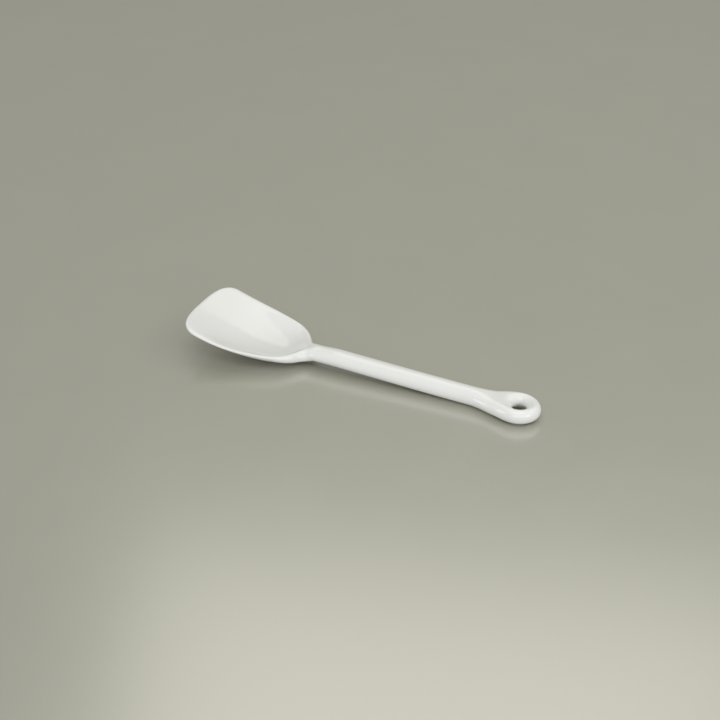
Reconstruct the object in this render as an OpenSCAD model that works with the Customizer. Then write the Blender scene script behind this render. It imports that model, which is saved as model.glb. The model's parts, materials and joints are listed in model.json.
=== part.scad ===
// Ice cream spoon with a shovel-shaped bowl, moulded in hard glossy white plastic.
// It lies on a table, resting on the heel of the bowl and on the foot of the hanging eye.
// Distances along the spoon, called s, run from the front edge of the bowl towards the eye.

/* [Bowl outline] */
// Distance over which the front corners round back into the sides
corner_l = 14.2; // [9:0.1:18]
// Length of the sides behind the front corners
side_l = 40.9; // [34:0.1:60]
// Distance from the end of the sides to the steepest part of the shoulders
turn_l = 15.5; // [12:0.1:20]
// Distance from the steepest part of the shoulders to the neck
crotch_l = 9.4; // [6:0.1:14]
// Greatest width across the rim
bowl_w = 57.4; // [50:0.2:70]
// Width across the rim where the shoulders begin
shoulder_w = 44.2; // [36:0.2:49.5]
// Width across the rim at the steepest part of the shoulders
turn_w = 20.4; // [17:0.2:28]
// How much the half width narrows per millimetre where the shoulders begin
shoulder_slope = 0.38; // [0.1:0.02:0.5]
// How much the half width narrows per millimetre at the steepest part of the shoulders
turn_slope = 1.5; // [1:0.1:2]
// Squareness of the front corners
corner_power = 3; // [2.4:0.1:4.5]

/* [Bowl heights] */
// Height of the middle of the front edge above the table, halfway through its thickness
lip_h = 21.6; // [16:0.2:26]
// How far the rim runs out above the middle of the front edge
lip_dish = 1.1; // [0:0.1:4]
// Height of the rim above the table where the shoulders begin
shoulder_h = 10.7; // [9:0.1:14]
// Distance from the end of the sides back to the heel, where the underside meets the table
heel_l = 0.9; // [0:0.1:6]
// Thickness of the bowl wall
wall = 2.8; // [2.2:0.1:3.6]
// How much the underside falls per millimetre at the front edge
ramp_slope = 0.42; // [0.3:0.02:0.55]
// How much the rim falls per millimetre at the front edge
rim_front_slope = 0.45; // [0.2:0.01:0.5]
// How much the rim falls per millimetre where the shoulders begin
rim_back_slope = 0.08; // [0.02:0.01:0.2]
// Squareness of the dish in cross section
dish_power = 2.5; // [2.2:0.1:5]

/* [Neck] */
// Length of the neck
neck_l = 14; // [10:0.5:22]
// Width of the neck where it leaves the bowl
neck_w = 13; // [11.4:0.2:16]
// Thickness of the neck where it leaves the bowl
neck_t = 9.4; // [6:0.2:10]
// Clear height under the neck where it leaves the bowl
neck_gap = 2.8; // [2:0.2:6]

/* [Handle] */
// Length of the handle
handle_l = 83.7; // [70:0.1:140]
// Width of the handle at the neck
handle_w = 12.8; // [10:0.2:15]
// Thickness of the handle at the neck
handle_t = 9.8; // [8:0.2:12]
// Clear height under the handle at the neck
handle_gap = 2.8; // [1.6:0.2:5]
// Width of the handle where it meets the eye
grip_w = 11.8; // [9:0.2:15]
// Thickness of the handle where it meets the eye
grip_t = 10.8; // [8:0.2:12]

/* [Hanging eye] */
// Length from the handle to the widest part of the eye
eye_l = 28.5; // [20:0.1:36]
// Length from the widest part of the eye to the end of the spoon
end_l = 13.8; // [9:0.1:15]
// Distance from the widest part of the eye to the centre of the hanging hole
hole_l = 1.2; // [0:0.1:2]
// Distance from the handle to where the underside meets the table again
rest_l = 11.5; // [3:0.5:12]
// Clear height under the eye
eye_gap = 0.7; // [0.2:0.1:1.5]
// Width across the eye
eye_w = 24; // [21:0.2:28]
// Thickness of the eye
eye_t = 9; // [8:0.2:13]
// Diameter of the hanging hole at its throat
hole_d = 7.9; // [7:0.1:13]
// Length of the cylindrical throat
throat_l = 0.8; // [0.6:0.2:4]
// Diameter at which the flare of the hole meets the top and the underside
flare_d = 17.4; // [15:0.2:19]
// Roundness of the flare: 1 is a straight funnel, 2 a quarter of an ellipse
flare_power = 1.4; // [1.3:0.05:2.2]
// Width of the flat margin round the throat
margin = 0.3; // [0.2:0.05:0.6]

/* [Hidden] */

side_s = corner_l + side_l;
heel_s = side_s + heel_l;
turn_s = side_s + turn_l;
neck_s = turn_s + crotch_l;
handle_s = neck_s + neck_l;
grip_s = handle_s + handle_l;
rest_s = grip_s + rest_l;
eye_s = grip_s + eye_l;
hole_s = eye_s + hole_l;
level_s = hole_s - flare_d / 2;
overall_l = eye_s + end_l;

// How much the underside of the handle falls per millimetre where it leaves the neck
handle_fall = handle_gap / (rest_s - handle_s);

eye_r = eye_w / 2;
flat_r = hole_d / 2 + margin;
flare_r = flare_d / 2;

// How far the drill runs past the eye at each end
overrun = 1;
// Thickness left along the parting line, where the two mould halves meet
seam = 0.3;
// Squareness of a cross section: thin wall, ridged neck and round handle
wall_power = 24;
neck_power = 1.6;
round_power = 2;

// Number of strips across a section, round the front lip and along each region
across = 24;
lip_rows = 4;
side_rows = 8;
shoulder_rows = 14;
neck_rows = 8;
handle_rows = 8;
web_rows = 10;
arc_rows = 20;
ring_rows = 9;

glossy_white = [0.90, 0.90, 0.88];

// Cubic curve through stations, each written as [distance, value, slope]
function span(st, s, i = 0) = i >= len(st) - 2 || s <= st[i + 1][0] ? i : span(st, s, i + 1);
function curve(st, s) =
    let (
        i = span(st, s),
        a = st[i],
        b = st[i + 1],
        d = b[0] - a[0],
        t = min(max((s - a[0]) / d, 0), 1)
    )
    a[1] * (1 + 2 * t) * pow(1 - t, 2) + b[1] * t * t * (3 - 2 * t)
    + d * t * (1 - t) * (a[2] * (1 - t) - b[2] * t);

// Half of the width at distance s
function half_w(s) = curve([
    [corner_l, bowl_w / 2, 0],
    [side_s, shoulder_w / 2, -shoulder_slope],
    [turn_s, turn_w / 2, -turn_slope],
    [neck_s, neck_w / 2, 0],
    [handle_s, handle_w / 2, 0],
    [grip_s, grip_w / 2, 0],
    [eye_s, eye_r, 0]
], s);

// Thickness on the centre line at distance s
function thickness(s) = curve([
    [0, wall, 0],
    [heel_s, wall, 0],
    [neck_s, neck_t, 0],
    [handle_s, handle_t, 0],
    [grip_s, grip_t, 0],
    [level_s, eye_t, 0],
    [overall_l, eye_t, 0]
], s);

// Height of the underside on the centre line at distance s
function underside(s) = curve([
    [0, lip_h - wall / 2, -ramp_slope],
    [heel_s, 0, 0],
    [neck_s, neck_gap, 0],
    [handle_s, handle_gap, -handle_fall],
    [rest_s, 0, 0],
    [level_s, eye_gap, 0],
    [overall_l, eye_gap, 0]
], s);

// Height halfway through the thickness on the centre line
function middle(s) = underside(s) + thickness(s) / 2;

// Height of the rim at distance s: it runs into the side of the neck
function rim(s) = curve([
    [0, lip_h + lip_dish, -rim_front_slope],
    [side_s, shoulder_h, -rim_back_slope],
    [neck_s, middle(neck_s), 0],
    [overall_l, middle(neck_s), 0]
], s);

// Depth of the dish at distance s
function dish(s) = s < neck_s ? rim(s) - middle(s) : 0;

// Squareness of the edge of the cross section at distance s
function edge_power(s) = curve([
    [0, wall_power, 0],
    [heel_s, wall_power, 0],
    [neck_s, neck_power, 0],
    [handle_s, round_power, 0],
    [overall_l, round_power, 0]
], s);

// Share of the half width over which the section keeps its full thickness, before its edge rounds off
function crest_share(s) = curve([
    [grip_s, 0, 0],
    [eye_s, flare_r / eye_r, 0]
], s);

// Half of the thickness at distance s and share e of the half width
function half_t(s, e) =
    let (
        c = crest_share(s),
        edge = min(max((abs(e) - c) / (1 - c), 0), 1)
    )
    thickness(s) / 2 * sqrt(1 - pow(edge, edge_power(s)));

// How far the front row bows forward at share e of the half width, and how the bow fades behind it
function bow(e) = corner_l * pow(1 - pow(abs(e), corner_power), 1 / corner_power);
function bow_share(s) = max(1 - (s - corner_l) / side_l, 0);

// Rounding of the front lip: the share of the full thickness at distance d behind the edge
function lip_share(d) = d < wall / 2 ? sqrt(1 - pow(1 - d / (wall / 2), 2)) : 1;

// One point of a section. side is 1 on the top face and -1 on the underside.
function skin(row, e, side) =
    let (
        s = row - bow(e) * bow_share(row),
        half = half_w(row),
        slope = dish(s) * dish_power * pow(abs(e), dish_power - 1) * sign(e) / half,
        stretch = sqrt(1 + slope * slope),
        h = max(half_t(s, e) * lip_share(row - corner_l), seam / 2) * side / stretch
    )
    [s, e * half - h * slope, middle(s) + dish(s) * pow(abs(e), dish_power) + h];

// Shares of the half width, closer together towards the edges
shares = [for (i = [0 : across]) sin(180 * i / across - 90)];

// Closed loop of one section: across the top face, then back along the underside
function section(row) = concat(
    [for (e = shares) skin(row, e, 1)],
    [for (i = [across : -1 : 0]) skin(row, shares[i], -1)]
);

// Triangles that join each loop of n points to the next
function walls(loops, n) = [
    for (r = [0 : loops - 2], i = [0 : n - 1])
        let (a = r * n + i, b = r * n + (i + 1) % n)
        each [[a, b, b + n], [a, b + n, a + n]]
];

// Solid through the sections at the given rows
module loft(rows) {
    n = 2 * (across + 1);
    last = (len(rows) - 1) * n;
    points = [for (row = rows) each section(row)];
    front = [
        for (i = [0 : across - 1])
            each [[i, n - 1 - i, n - 2 - i], [i, n - 2 - i, i + 1]]
    ];
    back = [for (f = front) [for (k = [2 : -1 : 0]) f[k] + last]];
    translate([-overall_l / 2, 0, 0])
        polyhedron(points, concat(walls(len(rows), n), front, back), convexity = 6);
}

// Evenly spaced rows from one distance to another
function rows(from, to, count) = [for (i = [0 : count]) from + (to - from) * i / count];
// The same rows without the first
function more_rows(from, to, count) = [for (i = [1 : count]) from + (to - from) * i / count];

// Outline of the eye seen from above: flat end against the handle, one side, round end, other side
function eye_outline() = concat(
    [for (e = shares) [grip_s, -e * half_w(grip_s)]],
    [for (s = more_rows(grip_s, eye_s, web_rows)) [s, -half_w(s)]],
    [for (i = [1 : arc_rows]) [eye_s + end_l * sin(180 * i / arc_rows), -eye_r * cos(180 * i / arc_rows)]],
    [for (i = [1 : web_rows - 1]) let (s = eye_s - eye_l * i / web_rows) [s, half_w(s)]]
);

// Half of the thickness of the eye at a point, with the flare of the hole taken out
function eye_half_t(p) =
    let (
        r = norm(p - [hole_s, 0]),
        e = p[0] > eye_s ? norm([(p[0] - eye_s) / end_l, p[1] / eye_r]) : abs(p[1]) / half_w(p[0]),
        full = max(half_t(min(p[0], eye_s), e), seam / 2),
        d = max(flare_r - r, 0) / (flare_r - flat_r),
        share = pow(max(1 - pow(d, flare_power), 0), 1 / flare_power)
    )
    throat_l / 2 + (full - throat_l / 2) * share;

// Solid eye before it is drilled: rings round the hole, over the top face and back underneath
module eye_blank() {
    outline = eye_outline();
    n = len(outline);
    centre = [hole_s, 0];
    shares_out = [for (k = [0 : ring_rows]) (1 - cos(180 * k / ring_rows)) / 2];
    function ring_point(o, share) =
        let (reach = norm(o - centre)) centre + (o - centre) * (flat_r + share * (reach - flat_r)) / reach;
    function ring(share, side) = [
        for (o = outline) let (p = ring_point(o, share)) [p[0], p[1], middle(p[0]) + side * eye_half_t(p)]
    ];
    rings = concat(
        [for (share = shares_out) ring(share, 1)],
        [for (k = [ring_rows : -1 : 0]) ring(shares_out[k], -1)]
    );
    top = [[for (i = [n - 1 : -1 : 0]) i]];
    bottom = [[for (i = [0 : n - 1]) i + (len(rings) - 1) * n]];
    translate([-overall_l / 2, 0, 0])
        polyhedron([for (r = rings) each r], concat(walls(len(rings), n), top, bottom), convexity = 6);
}

module bowl() {
    lip = [for (i = [0 : lip_rows]) corner_l + wall / 2 * (1 - cos(90 * i / lip_rows))];
    color(glossy_white)
        loft(concat(
            lip,
            more_rows(corner_l + wall / 2, side_s, side_rows),
            more_rows(side_s, neck_s, shoulder_rows)
        ));
}

module neck() {
    color(glossy_white)
        loft(rows(neck_s, handle_s, neck_rows));
}

module handle() {
    color(glossy_white)
        loft(rows(handle_s, grip_s, handle_rows));
}

module hanging_eye() {
    color(glossy_white)
        difference() {
            eye_blank();
            translate([hole_s - overall_l / 2, 0, -overrun])
                cylinder(h = eye_gap + eye_t + 2 * overrun, d = hole_d, $fn = 64);
        }
}

bowl();
neck();
handle();
hanging_eye();
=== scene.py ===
# %% [markdown]
# # Ice cream spoon
#
# The real object is one moulding in hard, glossy white plastic: a shovel-shaped bowl with a square
# front edge, a short neck, a slim handle and a ring-shaped eye to hang it up by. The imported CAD
# model already has its sizes and its place, but its solids are made of flat facets. This lesson
# lays one smooth skin over the whole spoon, cuts the skin where the CAD parts meet, gives it its
# gloss, and sets up a small studio round it.

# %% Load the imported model
import json
import math

import bmesh
import bpy
from mathutils import Matrix, Vector


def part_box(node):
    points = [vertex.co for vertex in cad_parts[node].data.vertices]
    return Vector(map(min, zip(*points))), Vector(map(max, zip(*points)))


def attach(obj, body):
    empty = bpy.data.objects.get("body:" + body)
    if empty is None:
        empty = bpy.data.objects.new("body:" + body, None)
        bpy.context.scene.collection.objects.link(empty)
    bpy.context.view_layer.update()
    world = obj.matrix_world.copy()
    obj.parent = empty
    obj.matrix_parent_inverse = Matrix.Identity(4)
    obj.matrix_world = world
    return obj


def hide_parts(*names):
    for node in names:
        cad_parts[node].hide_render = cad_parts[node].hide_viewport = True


MM = 0.001
CUBIC_CM = 1e-6

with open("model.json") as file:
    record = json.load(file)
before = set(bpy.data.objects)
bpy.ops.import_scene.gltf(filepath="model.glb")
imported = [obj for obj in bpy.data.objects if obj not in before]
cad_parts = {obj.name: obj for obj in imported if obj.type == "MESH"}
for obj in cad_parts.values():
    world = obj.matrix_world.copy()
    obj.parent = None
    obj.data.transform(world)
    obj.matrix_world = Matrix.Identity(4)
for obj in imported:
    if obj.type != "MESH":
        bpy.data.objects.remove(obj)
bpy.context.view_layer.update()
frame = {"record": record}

# %% [markdown]
# ## Camera
#
# The spoon is seen from in front of its right side, about a third of the way up from the table to
# overhead, through a long lens. A long lens keeps the near eye and the far bowl in true proportion.
# The camera is placed first, because every later decision is judged through it.

# %% Place the camera
VIEW_TURN = math.radians(25.6)
VIEW_RISE = math.radians(32.29)
VIEW_DISTANCE = 0.9546
VIEW_TARGET = Vector((-0.0096, 0.0147, 0.0))
LENS_MM = 79.6
SENSOR_MM = 36


def direction(turn, rise):
    """Direction from the spoon to a place that is turned from -Y towards +X, and raised."""
    return Vector((
        math.sin(turn) * math.cos(rise),
        -math.cos(turn) * math.cos(rise),
        math.sin(rise),
    ))


back = direction(VIEW_TURN, VIEW_RISE)
camera = bpy.data.objects.new("camera", bpy.data.cameras.new("camera"))
camera.data.sensor_width = SENSOR_MM
camera.data.lens = LENS_MM
camera.location = VIEW_TARGET + back * VIEW_DISTANCE
camera.rotation_euler = back.to_track_quat("Z", "Y").to_euler()
bpy.context.collection.objects.link(camera)
bpy.context.scene.camera = camera
print("Camera at", [round(c, 3) for c in camera.location])

# %% [markdown]
# ## Lengths along the spoon
#
# Every distance along the spoon, called s, runs from the front edge of the bowl towards the eye.
# The CAD boxes say where one part ends and the next begins, and the record's mount says where the
# hanging hole is. The sizes that no box shows, such as the wall or the depth of the corners, are
# written here in millimetres, the same as in the drawing.

# %% Read the frame
bowl_low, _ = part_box("bowl")
neck_low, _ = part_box("neck")
handle_low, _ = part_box("handle")
eye_low, eye_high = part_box("hanging_eye")
hole = frame["record"]["mounts"][0]

front_x = bowl_low.x
neck_s = neck_low.x - front_x
handle_s = handle_low.x - front_x
grip_s = eye_low.x - front_x
overall_l = eye_high.x - front_x

hole_s = hole["pos_m"][0] - front_x
hole_r = hole["dims"]["r_mm"] * MM
throat_l = hole["dims"]["length_mm"] * MM
print("Overall length in mm:", round(overall_l / MM, 2), "hole radius in mm:", round(hole_r / MM, 2))

# %% Name the other sizes
flare_r = 8.7 * MM
eye_r = eye_high.y
end_l = 13.8 * MM
eye_s = overall_l - end_l

corner_l = 14.2 * MM
side_s = 55.1 * MM
heel_s = 56.0 * MM
turn_s = 70.6 * MM
rest_s = grip_s + 11.5 * MM

bowl_w = 57.4 * MM
shoulder_w = 44.2 * MM
turn_w = 20.4 * MM
neck_w = 13 * MM
handle_w = 12.8 * MM
grip_w = 11.8 * MM

wall = 2.8 * MM
neck_t = 9.4 * MM
handle_t = 9.8 * MM
grip_t = 10.8 * MM

lip_h = 21.6 * MM
lip_dish = 1.1 * MM
shoulder_h = 10.7 * MM
neck_gap = 2.8 * MM
handle_gap = 2.8 * MM
eye_gap = 0.7 * MM
eye_t = 2 * (hole["pos_m"][2] - eye_gap)
print("Thickness of the eye in mm:", round(eye_t / MM, 2))

# %% [markdown]
# ## Curves that the spoon follows
#
# A moulded spoon has no corners along its length: its width, thickness and height flow from the
# bowl into the neck and on into the handle. Each is described by a few stations, which give the
# distance, the value there and the slope there, and a cubic curve joins them. A few stations are
# easier to change than many hand-placed rings, and the curve stays fair between them.

# %% Describe width, thickness and height by stations
def curve(stations, s):
    """Value at s of the smooth curve through stations, each written as (s, value, slope)."""
    spans = zip(stations, stations[1:])
    last = (stations[-2], stations[-1])
    first, second = next((span for span in spans if s <= span[1][0]), last)
    gap = second[0] - first[0]
    t = min(max((s - first[0]) / gap, 0.0), 1.0)
    levels = first[1] * (1 + 2 * t) * (1 - t) ** 2 + second[1] * t * t * (3 - 2 * t)
    return levels + gap * t * (1 - t) * (first[2] * (1 - t) - second[2] * t)


SHOULDER_SLOPE = 0.38
TURN_SLOPE = 1.5
RAMP_SLOPE = 0.42
RIM_FRONT_SLOPE = 0.45
RIM_BACK_SLOPE = 0.08

handle_fall = handle_gap / (rest_s - handle_s)
level_s = hole_s - flare_r

half_widths = [
    (corner_l, bowl_w / 2, 0),
    (side_s, shoulder_w / 2, -SHOULDER_SLOPE),
    (turn_s, turn_w / 2, -TURN_SLOPE),
    (neck_s, neck_w / 2, 0),
    (handle_s, handle_w / 2, 0),
    (grip_s, grip_w / 2, 0),
    (eye_s, eye_r, 0),
]
thicknesses = [
    (0, wall, 0),
    (heel_s, wall, 0),
    (neck_s, neck_t, 0),
    (handle_s, handle_t, 0),
    (grip_s, grip_t, 0),
    (level_s, eye_t, 0),
]
undersides = [
    (0, lip_h - wall / 2, -RAMP_SLOPE),
    (heel_s, 0, 0),
    (neck_s, neck_gap, 0),
    (handle_s, handle_gap, -handle_fall),
    (rest_s, 0, 0),
    (level_s, eye_gap, 0),
]
print("Stations of width, thickness and height:", len(half_widths), len(thicknesses), len(undersides))

# %% Describe the depth of the dish
def middle(s):
    """Height of the middle of the thickness on the centre line."""
    return curve(undersides, s) + curve(thicknesses, s) / 2


rims = [
    (0, lip_h + lip_dish, -RIM_FRONT_SLOPE),
    (side_s, shoulder_h, -RIM_BACK_SLOPE),
    (neck_s, middle(neck_s), 0),
]


def dish(s):
    """How far the rim stands above the middle of the bowl's floor."""
    return curve(rims, s) - middle(s) if s < neck_s else 0.0


print("Depth of the dish at its heel in mm:", round(dish(heel_s) / MM, 2))

# %% [markdown]
# ## One cross section
#
# Cut across, the bowl is a bent plate with a rounded lip, the neck has a soft ridge along its top, and
# the handle is nearly a circle. One rule covers all three: a curve like an ellipse whose power is high
# in the bowl, where the plate keeps its thickness up to the lip, less than 2 in the neck, which gives
# it flat sides, and 2 in the handle, where it is an ellipse. The section is bent up at both sides by
# the depth of the dish, and the rows at the front are bowed forward, so that the front edge comes out
# square with rounded corners.

# %% Describe a section
WALL_POWER = 24
NECK_POWER = 1.6
ROUND_POWER = 2
DISH_POWER = 2.5
CORNER_POWER = 3

edge_powers = [
    (0, WALL_POWER, 0),
    (heel_s, WALL_POWER, 0),
    (neck_s, NECK_POWER, 0),
    (handle_s, ROUND_POWER, 0),
]
crests = [(grip_s, 0, 0), (eye_s, flare_r / eye_r, 0)]


def half_thickness(s, share):
    """Half of the thickness at s, at a share of the half width from -1 to 1."""
    crest = curve(crests, s)
    edge = min(max((abs(share) - crest) / (1 - crest), 0.0), 1.0)
    return curve(thicknesses, s) / 2 * math.sqrt(1 - edge ** curve(edge_powers, s))


def lip_rounding(behind):
    """Share of the wall's thickness at a distance behind the front edge."""
    lip_r = wall / 2
    return math.sqrt(1 - (1 - behind / lip_r) ** 2) if behind < lip_r else 1.0


def skin(row, share, side):
    """Point of the spoon's skin. side is 1 on the top face and -1 on the underside."""
    bow = corner_l * (1 - abs(share) ** CORNER_POWER) ** (1 / CORNER_POWER)
    fade = max(1 - (row - corner_l) / (side_s - corner_l), 0.0)
    s = row - bow * fade
    half_w = curve(half_widths, row)
    depth = dish(s)
    slope = math.copysign(depth * DISH_POWER * abs(share) ** (DISH_POWER - 1) / half_w, share)
    offset = side * half_thickness(s, share) * lip_rounding(row - corner_l) / math.hypot(1, slope)
    y = share * half_w - offset * slope
    z = middle(s) + depth * abs(share) ** DISH_POWER + offset
    return Vector((front_x + s, y, z))


print("Lip at the middle of the front edge:", [round(c / MM, 2) for c in skin(corner_l, 0.0, 1)])

# %% [markdown]
# ## From a straight tube to the body of the spoon
#
# The skin could be lofted face by face, but a tube is simpler: it starts as a circle of radius 1 and
# is extruded once for every row, straight up, so that a vertex's height is its row and its place on
# the circle is its place in the section. Then each vertex is moved to where the section rule wants
# it. The rows lie close together round the front lip and at the shoulders, where the form turns
# fastest. At the front the top and the underside meet, so merging doubles closes the lip.

# %% Choose the rows
LIP_ROWS = 6
SIDE_ROWS = 18
SHOULDER_ROWS = 20
NECK_ROWS = 9
HANDLE_ROWS = 26
WEB_ROWS = 3
WEB_START = 6 * MM
web_s = grip_s + WEB_START


def evenly(start, end, count):
    """Rows from just after start up to end."""
    return [start + (end - start) * (i + 1) / count for i in range(count)]


rows = [corner_l + wall / 2 * (1 - math.cos(math.pi / 2 * i / LIP_ROWS)) for i in range(LIP_ROWS + 1)]
rows += evenly(rows[-1], side_s, SIDE_ROWS)
rows += evenly(side_s, neck_s, SHOULDER_ROWS)
rows += evenly(neck_s, handle_s, NECK_ROWS)
rows += evenly(handle_s, grip_s, HANDLE_ROWS)
rows += evenly(grip_s, web_s, WEB_ROWS)
print("Rows:", len(rows))

# %% Extrude the tube and shape it
AROUND = 48


def grow_rings(bm, ring_edges, heights):
    """Extrude a ring of edges upwards through the given heights, and return all new vertices."""
    made = []
    level = ring_edges[0].verts[0].co.z
    for height in heights:
        grown = bmesh.ops.extrude_edge_only(bm, edges=ring_edges)["geom"]
        verts = [part for part in grown if isinstance(part, bmesh.types.BMVert)]
        bmesh.ops.translate(bm, verts=verts, vec=(0, 0, height - level))
        level = height
        new = set(verts)
        ring_edges = [
            part for part in grown
            if isinstance(part, bmesh.types.BMEdge) and new.issuperset(part.verts)
        ]
        made += verts
    return made


spoon = bmesh.new()
start = Matrix.Translation((0, 0, rows[0]))
bmesh.ops.create_circle(spoon, segments=AROUND, radius=1, matrix=start)
grow_rings(spoon, spoon.edges[:], rows[1:])
for vert in spoon.verts:
    across, up, row = vert.co
    share = min(max(across, -1.0), 1.0)
    vert.co = skin(row, share, math.copysign(1, up))
print("Body:", len(rows), "rows of", AROUND, "vertices")

# %% [markdown]
# ## The hanging eye
#
# The eye is a fat, soft ring. Its hole lies a little behind the widest part, and flares out on both
# faces like a funnel with a rounded mouth. A boolean cut would leave a hard edge where the flare
# begins, so the eye is made of rings that run round the hole instead: from the throat over the top
# to the outline, and back underneath. They are extruded as a tube too, one step of the circle for
# each point of the outline. Bridging the first ring to the last closes the throat, and the side
# towards the handle is left open and merged with the end of the body.

# %% Draw the outline of the eye
WEB_STEPS = 14
ARC_STEPS = 28


def eye_outline():
    """Points round the eye seen from above: the handle's end, one side, the round end, the other side."""
    half = AROUND // 2
    handle_end = [
        Vector((web_s, math.cos(math.pi * i / half) * curve(half_widths, web_s)))
        for i in range(half + 1)
    ]
    near_side = [Vector((s, -curve(half_widths, s))) for s in evenly(web_s, eye_s, WEB_STEPS)]
    turns = evenly(-math.pi / 2, math.pi / 2, ARC_STEPS)
    round_end = [Vector((eye_s + end_l * math.cos(turn), eye_r * math.sin(turn))) for turn in turns]
    far_side = [Vector((point.x, -point.y)) for point in reversed(near_side[:-1])]
    return handle_end + near_side + round_end + far_side


outline = eye_outline()
print("Outline of the eye:", len(outline), "points")

# %% Describe the rings between the hole and the outline
RING_STEPS = 14
LAST_RING = 2 * RING_STEPS + 1
FLARE_POWER = 1.4

centre = Vector((hole_s, 0.0))


def eye_half_thickness(point):
    """Half of the eye's thickness at a point seen from above, with the flare taken out."""
    if point.x > eye_s:
        share = math.hypot((point.x - eye_s) / end_l, point.y / eye_r)
    else:
        share = point.y / curve(half_widths, point.x)
    full = half_thickness(min(point.x, eye_s), share)
    sunk = max(flare_r - (point - centre).length, 0.0) / (flare_r - hole_r)
    left = max(1 - sunk ** FLARE_POWER, 0.0) ** (1 / FLARE_POWER)
    return throat_l / 2 + (full - throat_l / 2) * left


def eye_point(edge, ring):
    """Point of a ring on the line from the hole's centre to a point of the outline."""
    on_top = ring <= RING_STEPS
    step = ring if on_top else LAST_RING - ring
    share = (1 - math.cos(math.pi * step / RING_STEPS)) / 2
    reach = edge - centre
    point = centre + reach.normalized() * (hole_r + share * (reach.length - hole_r))
    side = 1 if on_top else -1
    return Vector((front_x + point.x, point.y, middle(point.x) + side * eye_half_thickness(point)))


print("Throat at the first outline point in mm:", [round(c / MM, 2) for c in eye_point(outline[0], 0)])

# %% Grow the rings
throat = bmesh.ops.create_circle(spoon, segments=len(outline), radius=1)["verts"]
throat_edges = list({edge for vert in throat for edge in vert.link_edges})
rings = throat + grow_rings(spoon, throat_edges, range(1, LAST_RING + 1))
first_and_last = (0, LAST_RING)
open_edges = {
    edge for vert in rings if round(vert.co.z) in first_and_last
    for edge in vert.link_edges if edge.is_boundary
}
bmesh.ops.bridge_loops(spoon, edges=list(open_edges))
for vert in rings:
    turn = math.atan2(vert.co.y, vert.co.x) / math.tau
    vert.co = eye_point(outline[round(turn * len(outline)) % len(outline)], round(vert.co.z))
print("Eye:", LAST_RING + 1, "rings of", len(outline), "vertices")

# %% [markdown]
# ## Close the skin
#
# Merging doubles joins the eye to the body, closes the front lip, and brings the eye's top and
# underside together along its outline. The faces that still stand across the handle's end are
# inside the spoon, so they are removed. Afterwards every edge must have exactly two faces.

# %% Merge, clear the inside and turn the faces outwards
MERGE_GAP = 0.002 * MM
SNAP = 0.01 * MM

bmesh.ops.remove_doubles(spoon, verts=spoon.verts[:], dist=MERGE_GAP)
web_x = front_x + web_s
inside = [
    face for face in spoon.faces
    if all(abs(vert.co.x - web_x) < SNAP for vert in face.verts)
]
bmesh.ops.delete(spoon, geom=inside, context="FACES_ONLY")
bmesh.ops.recalc_face_normals(spoon, faces=spoon.faces[:])
print("Open or crowded edges:", sum(not edge.is_manifold for edge in spoon.edges))
print("Faces removed inside:", len(inside), "volume in cm3:", round(spoon.calc_volume() / CUBIC_CM, 2))

# %% [markdown]
# ## Smooth it, then cut it into the parts
#
# A Subdivision Surface turns the rows into one continuous skin. It has to be applied to the whole
# spoon first: cut parts that are smoothed one by one would draw in at their ends and show a line.
# For the same reason the smooth skin's normals are kept in a layer. The cut ends then keep the
# normals of the whole, so light runs across each joint as it does on one moulding.

# %% Subdivide the whole and keep its normals
SMOOTH_LEVELS = 2

whole = bpy.data.objects.new("whole_spoon", bpy.data.meshes.new("whole_spoon"))
spoon.to_mesh(whole.data)
spoon.free()
bpy.context.collection.objects.link(whole)
smooth = whole.modifiers.new("smooth", "SUBSURF")
smooth.levels = SMOOTH_LEVELS
smooth.render_levels = SMOOTH_LEVELS
depsgraph = bpy.context.evaluated_depsgraph_get()
smooth_mesh = bpy.data.meshes.new_from_object(whole.evaluated_get(depsgraph))
bpy.data.objects.remove(whole)

skin_mesh = bmesh.new()
skin_mesh.from_mesh(smooth_mesh)
whole_normal = skin_mesh.verts.layers.float_vector.new("whole_normal")
skin_mesh.normal_update()
for vert in skin_mesh.verts:
    vert[whole_normal] = vert.normal
print("Smooth skin:", len(skin_mesh.faces), "faces")

# %% Cut out one part
def cut_part(name, low_x, high_x):
    """The stretch of the skin between two cuts across the spoon, closed at its cut ends."""
    part = skin_mesh.copy()
    for cut_x, keep_side in ((low_x, 1), (high_x, -1)):
        everything = part.verts[:] + part.edges[:] + part.faces[:]
        bmesh.ops.bisect_plane(
            part, geom=everything, dist=MERGE_GAP, use_snap_center=True,
            plane_co=(cut_x, 0, 0), plane_no=(keep_side, 0, 0), clear_inner=True,
        )
    rim = [edge for edge in part.edges if edge.is_boundary]
    caps = set(bmesh.ops.holes_fill(part, edges=rim, sides=0)["faces"]) if rim else set()
    bmesh.ops.recalc_face_normals(part, faces=part.faces[:])
    layer = part.verts.layers.float_vector["whole_normal"]
    normals = []
    for face in part.faces:
        face.smooth = face not in caps
        normals += [face.normal.copy() if face in caps else vert[layer].copy() for vert in face.verts]
    part.verts.layers.float_vector.remove(layer)
    mesh = bpy.data.meshes.new(name)
    part.to_mesh(mesh)
    part.free()
    mesh.normals_split_custom_set(normals)
    piece = bpy.data.objects.new(name, mesh)
    bpy.context.collection.objects.link(piece)
    return piece


BEYOND = 10 * MM
bowl_piece = cut_part("bowl_moulding", bowl_low.x - BEYOND, neck_low.x)
neck_piece = cut_part("neck_moulding", neck_low.x, handle_low.x)
handle_piece = cut_part("handle_moulding", handle_low.x, eye_low.x)
eye_piece = cut_part("eye_moulding", eye_low.x, eye_high.x + BEYOND)
skin_mesh.free()
bpy.data.meshes.remove(smooth_mesh)

parts = {
    "bowl": bowl_piece,
    "neck": neck_piece,
    "handle": handle_piece,
    "hanging_eye": eye_piece,
}
for node, piece in parts.items():
    print(node, len(piece.data.polygons), "faces")

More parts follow.
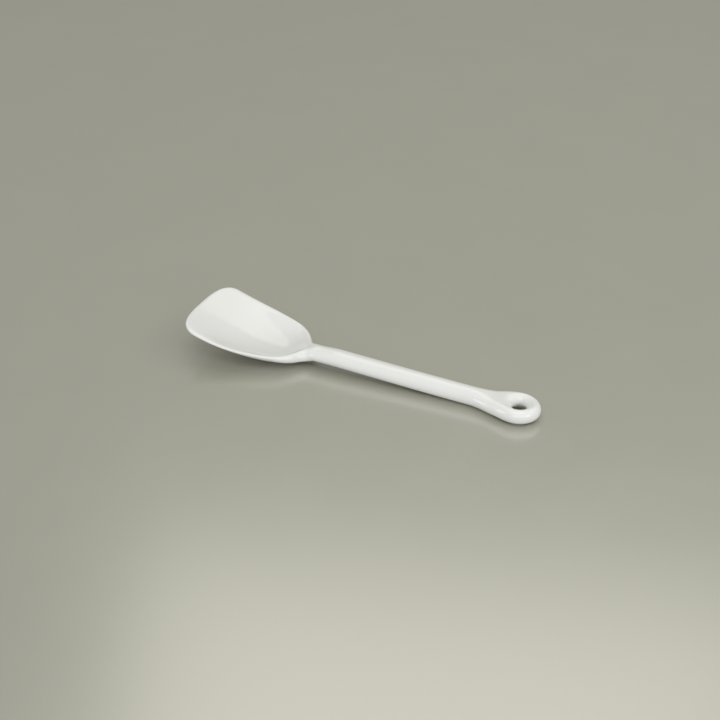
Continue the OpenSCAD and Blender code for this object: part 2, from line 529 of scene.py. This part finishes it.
# %% [markdown]
# ## Two effects for the finishes
#
# No surface is one flat value, not even a polished one. Two effects are built as node groups, so that
# a finish can take them with its own values. The first is a cloudy mottle, which shifts a colour or a
# gloss by a small share. The plastic uses it three times and the table once. The second is a scatter
# of hairline scratches for the plastic, drawn by the cell borders of a Voronoi texture that is
# stretched along one direction. Both read Object coordinates, so that a pattern keeps its size in
# millimetres and runs on from one piece to the next.

# %% Helpers for node trees
def new_group(name, sizes, output):
    """An empty shader node group with number inputs and one number output."""
    group = bpy.data.node_groups.new(name, "ShaderNodeTree")
    for label, value in sizes.items():
        socket = group.interface.new_socket(label, in_out="INPUT", socket_type="NodeSocketFloat")
        socket.default_value = value
    group.interface.new_socket(output, in_out="OUTPUT", socket_type="NodeSocketFloat")
    return group


def add(tree, kind, **settings):
    """A new node with the given settings."""
    node = tree.nodes.new(kind)
    for name, value in settings.items():
        setattr(node, name, value)
    return node


def math_node(tree, operation, first, second):
    """A Math node whose two inputs are numbers or sockets to link."""
    node = add(tree, "ShaderNodeMath", operation=operation)
    for socket, value in zip(node.inputs, (first, second)):
        if isinstance(value, bpy.types.NodeSocket):
            tree.links.new(value, socket)
        else:
            socket.default_value = value
    return node.outputs[0]


print("Helpers for node trees: new_group, add, math_node")

# %% Build the cloudy mottle
CLOUD_DETAIL = 3
CLOUD_GAIN = 4.0


def cloudy_mottle():
    """Group: a soft cloud, about -1 to 1, whose patches have the given size in metres."""
    group = new_group("cloudy_mottle", {"Patch Size": 20 * MM}, "Cloud")
    links = group.links
    entry = add(group, "NodeGroupInput")
    place = add(group, "ShaderNodeTexCoord")
    cloud = add(group, "ShaderNodeTexNoise")
    cloud.inputs["Detail"].default_value = CLOUD_DETAIL
    links.new(place.outputs["Object"], cloud.inputs["Vector"])
    links.new(math_node(group, "DIVIDE", 1.0, entry.outputs["Patch Size"]), cloud.inputs["Scale"])
    centred = math_node(group, "MULTIPLY_ADD", cloud.outputs["Fac"], CLOUD_GAIN)
    centred.node.inputs[2].default_value = -CLOUD_GAIN / 2
    exit_node = add(group, "NodeGroupOutput")
    links.new(centred, exit_node.inputs["Cloud"])
    return group


mottle_group = cloudy_mottle()
print("Node group:", mottle_group.name)

# %% Build the hairline scratches
def hairline_scratches():
    """Group: thin lines, 1 on a scratch and 0 beside it, that run mostly along X."""
    sizes = {"Length": 20 * MM, "Spacing": 2 * MM, "Line Width": 0.04}
    group = new_group("hairline_scratches", sizes, "Scratch")
    links = group.links
    entry = add(group, "NodeGroupInput")
    place = add(group, "ShaderNodeTexCoord")
    stretch = add(group, "ShaderNodeCombineXYZ")
    links.new(math_node(group, "DIVIDE", 1.0, entry.outputs["Length"]), stretch.inputs["X"])
    for axis in "YZ":
        links.new(math_node(group, "DIVIDE", 1.0, entry.outputs["Spacing"]), stretch.inputs[axis])
    scaled = add(group, "ShaderNodeVectorMath", operation="MULTIPLY")
    links.new(place.outputs["Object"], scaled.inputs[0])
    links.new(stretch.outputs["Vector"], scaled.inputs[1])
    cells = add(group, "ShaderNodeTexVoronoi", feature="DISTANCE_TO_EDGE")
    cells.inputs["Scale"].default_value = 1
    links.new(scaled.outputs["Vector"], cells.inputs["Vector"])
    line = math_node(group, "LESS_THAN", cells.outputs["Distance"], entry.outputs["Line Width"])
    exit_node = add(group, "NodeGroupOutput")
    links.new(line, exit_node.inputs["Scratch"])
    return group


scratch_group = hairline_scratches()
print("Node group:", scratch_group.name)

# %% [markdown]
# ## The glossy white plastic
#
# Melamine comes out of a polished mould with a hard, even gloss. Three things keep it from looking
# like paint on a computer: the white is very slightly cloudy, the skin has faint waves left by the
# flow in the mould, which bend the edges of every reflection, and use has dulled it where it
# touches things, at the front lip and where it rests on the table. The waves are only thousandths of
# a millimetre deep, so they belong in a Bump node. The forms of the spoon are all in its mesh.

# %% Make the plastic and its colour
WHITE = (0.80, 0.80, 0.774)
PLASTIC_IOR = 1.55
CLOUD_PATCH = 30 * MM
CLOUD_SHARE = 0.012


def place_group(tree, group, **sizes):
    """Place a node group in a material, with its own values, and return its output."""
    node = add(tree, "ShaderNodeGroup", node_tree=group)
    for label, value in sizes.items():
        node.inputs[label.replace("_", " ")].default_value = value
    return node.outputs[0]


def tinted(tree, colour, change):
    """A colour made lighter or darker by a small changing share."""
    node = add(tree, "ShaderNodeMix", data_type="RGBA", blend_type="MULTIPLY")
    node.inputs["Factor"].default_value = 1
    node.inputs["A"].default_value = (*colour, 1)
    tree.links.new(math_node(tree, "ADD", change, 1.0), node.inputs["B"])
    return node.outputs["Result"]


plastic = bpy.data.materials.new("white_melamine")
plastic.use_nodes = True
tree = plastic.node_tree
shader = tree.nodes["Principled BSDF"]
shader.inputs["IOR"].default_value = PLASTIC_IOR

cloud = place_group(tree, mottle_group, Patch_Size=CLOUD_PATCH)
shade = math_node(tree, "MULTIPLY", cloud, CLOUD_SHARE)
tree.links.new(tinted(tree, WHITE, shade), shader.inputs["Base Color"])
print("Base colour of the plastic:", WHITE)

# %% Wear it at the lip and the foot, and scratch the bowl
LIP_WEAR_REACH = 3 * MM
FOOT_WEAR_TOP = 0.6 * MM
FOOT_WEAR_FULL = 0.1 * MM
SCRATCH_LENGTH = 24 * MM
SCRATCH_SPACING = 2.2 * MM
SCRATCH_WIDTH = 0.03
SCRATCH_FADE = 15 * MM


def ramp(tree, value, start, end):
    """A mask that runs from 0 at start to 1 at end."""
    node = add(tree, "ShaderNodeMapRange", interpolation_type="SMOOTHSTEP")
    tree.links.new(value, node.inputs["Value"])
    node.inputs["From Min"].default_value = start
    node.inputs["From Max"].default_value = end
    return node.outputs["Result"]


where = add(tree, "ShaderNodeSeparateXYZ")
tree.links.new(add(tree, "ShaderNodeTexCoord").outputs["Object"], where.inputs["Vector"])
lip_wear = ramp(tree, where.outputs["X"], front_x + LIP_WEAR_REACH, front_x)
foot_wear = ramp(tree, where.outputs["Z"], FOOT_WEAR_TOP, FOOT_WEAR_FULL)
worn = math_node(tree, "MAXIMUM", lip_wear, foot_wear)
scratches = place_group(
    tree, scratch_group, Length=SCRATCH_LENGTH, Spacing=SCRATCH_SPACING, Line_Width=SCRATCH_WIDTH,
)
in_bowl = ramp(tree, where.outputs["X"], neck_low.x, neck_low.x - SCRATCH_FADE)
bowl_scratches = math_node(tree, "MULTIPLY", scratches, in_bowl)
print("Plastic with wear and scratches:", len(tree.nodes), "nodes so far")

# %% Give it its gloss and its waves
GLOSS_ROUGHNESS = 0.07
GLOSS_PATCH = 7 * MM
GLOSS_SHARE = 0.012
WORN_ROUGHNESS = 0.12
SCRATCH_ROUGHNESS = 0.05
WAVE_SIZE = 16 * MM
WAVE_DEPTH = 0.012 * MM

uneven = place_group(tree, mottle_group, Patch_Size=GLOSS_PATCH)
roughness = math_node(tree, "MULTIPLY", uneven, GLOSS_SHARE)
for mask, amount in ((worn, WORN_ROUGHNESS), (bowl_scratches, SCRATCH_ROUGHNESS)):
    roughness = math_node(tree, "ADD", roughness, math_node(tree, "MULTIPLY", mask, amount))
tree.links.new(math_node(tree, "ADD", roughness, GLOSS_ROUGHNESS), shader.inputs["Roughness"])

waves = place_group(tree, mottle_group, Patch_Size=WAVE_SIZE)
bump = add(tree, "ShaderNodeBump")
bump.inputs["Distance"].default_value = WAVE_DEPTH
tree.links.new(waves, bump.inputs["Height"])
tree.links.new(bump.outputs["Normal"], shader.inputs["Normal"])
print("White plastic:", len(tree.nodes), "nodes")

# %% [markdown]
# ## Put the pieces on the frame
#
# The real spoon is one moulding, so nothing on it is screwed, glued or clipped. The imported model knows
# it as four solids on one body that doesn't move. Each cut piece takes the place of its own solid: it
# rides on the body, hides the faceted solid, and gets the white plastic in its material slot. The four
# could be joined into one object, but then no part of the spoon could be measured or exchanged by itself.

# %% Dress the frame
for node, piece in parts.items():
    piece.data.materials.append(plastic)
    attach(piece, "root")
    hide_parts(node)
print("Dressed nodes:", ", ".join(parts))

# %% [markdown]
# ## The table
#
# The spoon lies on a plain, smooth table top in a pale olive grey. It has a satin gloss, which shows the
# underside of the handle again as a soft band below it. One large square is enough, since nothing of
# the table is seen but its colour, its gloss and the spoon's shadow. A mirror would give a sharp image
# and a matt board none, so the table is a pale board under a coat that reflects strongly, with some
# roughness to blur what it shows.

# %% Lay the floor
FLOOR_HALF_SIDE = 3.0
TABLE_GREY = (0.378, 0.374, 0.302)
TABLE_ROUGHNESS = 0.23
TABLE_IOR = 3.0
TABLE_PATCH = 60 * MM
TABLE_CLOUD_SHARE = 0.015
TABLE_GLOSS_SHARE = 0.01

floor_mesh = bpy.data.meshes.new("floor")
floor_bm = bmesh.new()
bmesh.ops.create_grid(floor_bm, x_segments=1, y_segments=1, size=FLOOR_HALF_SIDE)
floor_bm.to_mesh(floor_mesh)
floor_bm.free()
floor = bpy.data.objects.new("floor", floor_mesh)
bpy.context.collection.objects.link(floor)

table_top = bpy.data.materials.new("pale_table")
table_top.use_nodes = True
table_tree = table_top.node_tree
table_shader = table_tree.nodes["Principled BSDF"]
table_shader.inputs["IOR"].default_value = TABLE_IOR
table_cloud = place_group(table_tree, mottle_group, Patch_Size=TABLE_PATCH)
table_shade = math_node(table_tree, "MULTIPLY", table_cloud, TABLE_CLOUD_SHARE)
table_tree.links.new(tinted(table_tree, TABLE_GREY, table_shade), table_shader.inputs["Base Color"])
table_gloss = math_node(table_tree, "MULTIPLY", table_cloud, TABLE_GLOSS_SHARE)
table_tree.links.new(
    math_node(table_tree, "ADD", table_gloss, TABLE_ROUGHNESS), table_shader.inputs["Roughness"],
)
floor_mesh.materials.append(table_top)
print("Table:", round(2 * FLOOR_HALF_SIDE, 1), "m square,", len(table_tree.nodes), "nodes")

# %% [markdown]
# ## Studio light
#
# Glossy white things are lit by large soft lamps on all sides, because every lamp is also seen as its
# mirror image: a small one leaves a hard spot, and a gap between two leaves a dark bar. Each lamp here
# is placed by what mirrors it. The three in front light the near side of the handle from its underside
# to its top, and those at the sides light its ends. The one behind shows as the bright U on the bowl's
# floor. Two smaller ones, low at the right and at the left, leave soft gleams on the eye and on the
# shoulder of the bowl. A lamp that hangs low would glare in the table when seen from the far side, so
# the low ones are linked to light the spoon alone. The grey world fills the rest, so that no side is
# black.

# %% Hang the lamps
LAMP_DISTANCE = 1.4
WORLD_GREY = (0.395, 0.395, 0.37)
COOL_WHITE = (0.935, 0.955, 1.0)
WARM_WHITE = (1.0, 0.975, 0.88)

unlit_table = bpy.data.collections.new("unlit_table")
unlit_table.objects.link(floor)
for member in unlit_table.collection_objects:
    member.light_linking.link_state = "EXCLUDE"


def softbox(name, turn, rise, size, power, colour=COOL_WHITE, on_table=True):
    """A rectangular lamp that faces the spoon, turned from the camera's side and raised, in degrees."""
    lamp = bpy.data.lights.new(name, "AREA")
    lamp.shape = "RECTANGLE"
    lamp.size, lamp.size_y = size
    lamp.energy = power
    lamp.color = colour
    lamp_object = bpy.data.objects.new(name, lamp)
    towards = direction(VIEW_TURN + math.radians(turn), math.radians(rise))
    lamp_object.location = towards * LAMP_DISTANCE
    lamp_object.rotation_euler = towards.to_track_quat("Z", "Y").to_euler()
    if not on_table:
        lamp_object.light_linking.receiver_collection = unlit_table
    bpy.context.collection.objects.link(lamp_object)


softbox("front_softbox", turn=0, rise=30, size=(1.1, 0.7), power=1.7)
softbox("front_low_softbox", turn=0, rise=6, size=(1.6, 0.4), power=5.0, on_table=False)
softbox("front_top_softbox", turn=0, rise=62, size=(1.1, 0.6), power=3.7)
softbox("near_right_softbox", turn=50, rise=28, size=(0.8, 0.6), power=1.4)
softbox("right_softbox", turn=90, rise=42, size=(1.1, 0.6), power=2.6)
softbox("left_softbox", turn=-90, rise=28, size=(1.1, 0.6), power=1.3)
softbox("bowl_softbox", turn=172, rise=63, size=(0.95, 0.95), power=3.4, colour=WARM_WHITE)
softbox("low_right_softbox", turn=40, rise=10, size=(0.4, 0.32), power=2.4, on_table=False)
softbox("low_left_softbox", turn=-62, rise=14, size=(0.4, 0.32), power=2.5, on_table=False)

world = bpy.data.worlds.new("studio")
world.use_nodes = True
backdrop = world.node_tree.nodes["Background"]
backdrop.inputs["Color"].default_value = (*WORLD_GREY, 1)
bpy.context.scene.world = world
bpy.context.scene.view_settings.view_transform = "Standard"
print("Lamps:", len(bpy.data.lights))
